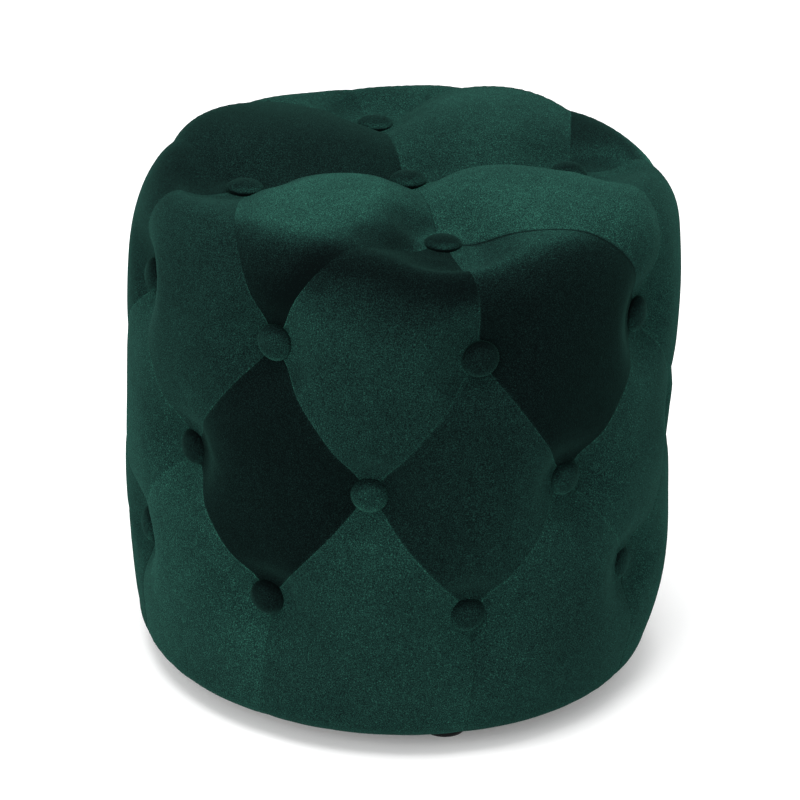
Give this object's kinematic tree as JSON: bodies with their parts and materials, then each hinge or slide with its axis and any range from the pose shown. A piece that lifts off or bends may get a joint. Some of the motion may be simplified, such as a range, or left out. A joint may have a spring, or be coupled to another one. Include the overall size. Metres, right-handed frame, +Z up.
{
  "type": "tufted ottoman",
  "caption": "Low round padded seat: a rigid drum under deep-buttoned velvet sewn from diamond panels, on small plastic feet.",
  "frame": {"origin": "centre of the drum on the floor plane, at the underside of the feet", "axes": "+Z up along the drum's axis; -Y is the front, through a column of the top and bottom side rows' buttons and over a foot; +X to the right seen from the front"},
  "size_m": [0.42, 0.42, 0.408],
  "materials": {
    "velvet": "short-pile velvet",
    "button_metal": "pressed",
    "steel": "zinc plated",
    "twine": "waxed thread",
    "washer_plastic": "moulded",
    "plywood": "unfinished birch plywood",
    "pine": "planed pine",
    "hardboard": "smooth one side",
    "foam": "open-cell foam",
    "wadding": "polyester fibre",
    "dust_cover": "non-woven",
    "black_plastic": "moulded"
  },
  "bodies": {
    "root": {"top_panel_1": "velvet", "top_panel_2": "velvet", "top_panel_3": "velvet", "top_panel_4": "velvet", "upper_panel_1": "velvet", "upper_panel_2": "velvet", "upper_panel_3": "velvet", "upper_panel_4": "velvet", "upper_panel_5": "velvet", "upper_panel_6": "velvet", "upper_panel_7": "velvet", "upper_panel_8": "velvet", "middle_panel_1": "velvet", "middle_panel_2": "velvet", "middle_panel_3": "velvet", "middle_panel_4": "velvet", "middle_panel_5": "velvet", "middle_panel_6": "velvet", "middle_panel_7": "velvet", "middle_panel_8": "velvet", "lower_panel_1": "velvet", "lower_panel_2": "velvet", "lower_panel_3": "velvet", "lower_panel_4": "velvet", "lower_panel_5": "velvet", "lower_panel_6": "velvet", "lower_panel_7": "velvet", "lower_panel_8": "velvet", "top_centre_button": "velvet", "top_ring_buttons": "velvet", "row_1_buttons": "velvet", "row_2_buttons": "velvet", "row_3_buttons": "velvet", "button_shells": "button_metal", "button_backs": "steel", "frame_screws": "steel", "foot_screws": "steel", "hem_staples": "steel", "dust_cover_staples": "steel", "tufting_twines": "twine", "twine_washers": "washer_plastic", "base_board": "plywood", "top_board": "plywood", "mid_hoop": "plywood", "post_1": "pine", "post_2": "pine", "post_3": "pine", "post_4": "pine", "drum_wall": "hardboard", "side_foam": "foam", "top_foam": "foam", "side_wadding": "wadding", "top_wadding": "wadding", "dust_cover": "dust_cover", "foot_1": "black_plastic", "foot_2": "black_plastic", "foot_3": "black_plastic", "foot_4": "black_plastic"}
  },
  "joints": []
}
